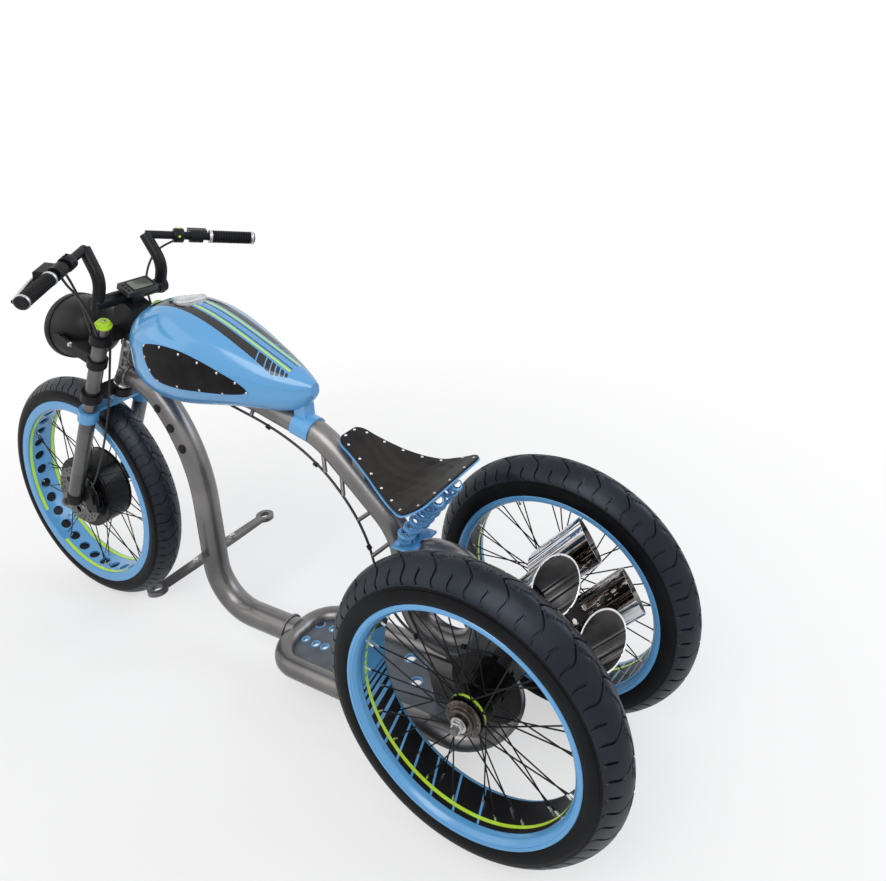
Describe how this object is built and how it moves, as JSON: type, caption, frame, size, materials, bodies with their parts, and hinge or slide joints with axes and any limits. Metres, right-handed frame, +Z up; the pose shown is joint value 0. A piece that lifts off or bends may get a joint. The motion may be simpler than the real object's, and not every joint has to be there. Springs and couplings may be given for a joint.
{
  "type": "motorised trike",
  "caption": "Electric chopper trike: raked fork, teardrop tank, bare tube frame, dished seat, wide spoked wheels, chrome tips between the rear pair.",
  "frame": {"origin": "on the ground, below the middle of the overall box", "axes": "+X forward, +Y to the rider's left, +Z up"},
  "size_m": [2.127, 0.6886, 1.1368],
  "materials": {
    "blue_paint": "gloss",
    "black_paint": "satin",
    "tyre": "matte",
    "bare_steel": "clear coated",
    "chrome": "polished",
    "leather": "satin",
    "disc_steel": "ground",
    "cast_grey": "satin",
    "sprocket": "worn",
    "deck_paint": "satin",
    "rubber": "matte",
    "lens": "clear",
    "lime_paint": "gloss",
    "plastic": "matte"
  },
  "bodies": {
    "frame": {"brake_cable": "rubber", "deck_plate": "deck_paint", "down_tube": "bare_steel", "exhaust_carrier": "black_paint", "exhaust_tip_lower_left": "chrome", "exhaust_tip_lower_right": "chrome", "exhaust_tip_upper_left": "chrome", "exhaust_tip_upper_right": "chrome", "foot_peg_left": "bare_steel", "foot_peg_right": "bare_steel", "head_tube": "bare_steel", "lower_loop": "bare_steel", "rear_axle": "black_paint", "rear_caliper_left": "black_paint", "rear_caliper_right": "black_paint", "rear_hoop": "bare_steel", "seat_bracket": "cast_grey", "seat_cover": "leather", "seat_pan": "blue_paint", "seat_spring_left": "blue_paint", "seat_spring_right": "blue_paint", "tank": "blue_paint", "tank_cap": "cast_grey", "tank_panel_left": "leather", "tank_panel_right": "leather", "tank_tail_tab": "blue_paint", "top_tube": "bare_steel"},
    "steering": {"lower_crown": "black_paint", "upper_crown": "black_paint", "fork_leg_left": "bare_steel", "fork_leg_right": "bare_steel", "fork_cap_left": "lime_paint", "fork_cap_right": "lime_paint", "fork_brace": "blue_paint", "front_axle": "bare_steel", "headlight_shell": "black_paint", "headlight_lens": "lens", "headlight_bracket_left": "black_paint", "headlight_bracket_right": "black_paint", "bar_yoke": "black_paint", "handlebar_left": "black_paint", "handlebar_right": "black_paint", "grip_left": "rubber", "grip_right": "rubber", "brake_lever_left": "cast_grey", "brake_lever_right": "cast_grey", "display": "plastic", "front_caliper": "black_paint", "front_cables": "rubber"},
    "front_wheel": {"front_tyre": "tyre", "front_rim": "blue_paint", "hub_motor": "black_paint", "front_disc": "disc_steel"},
    "rear_wheel_left": {"rear_rim_left": "blue_paint", "rear_tyre_left": "tyre", "rear_hub_left": "black_paint", "freewheel_left": "sprocket"},
    "rear_wheel_right": {"rear_rim_right": "blue_paint", "rear_tyre_right": "tyre", "rear_hub_right": "black_paint"}
  },
  "joints": [
    {"name": "steering_turn", "type": "hinge", "parent": "frame", "child": "steering", "pos_m": [0.43, 0, 0.83], "axis": [-0.4587, 0, 0.8886], "range_deg": [-35, 35]},
    {"name": "front_wheel_roll", "type": "hinge", "parent": "steering", "child": "front_wheel", "pos_m": [0.716, 0, 0.349], "axis": [0, 1, 0], "continuous": true},
    {"name": "rear_wheel_left_roll", "type": "hinge", "parent": "frame", "child": "rear_wheel_left", "pos_m": [-0.73, 0.205, 0.332], "axis": [0, 1, 0], "continuous": true},
    {"name": "rear_wheel_right_roll", "type": "hinge", "parent": "frame", "child": "rear_wheel_right", "pos_m": [-0.73, -0.205, 0.332], "axis": [0, 1, 0], "continuous": true}
  ]
}
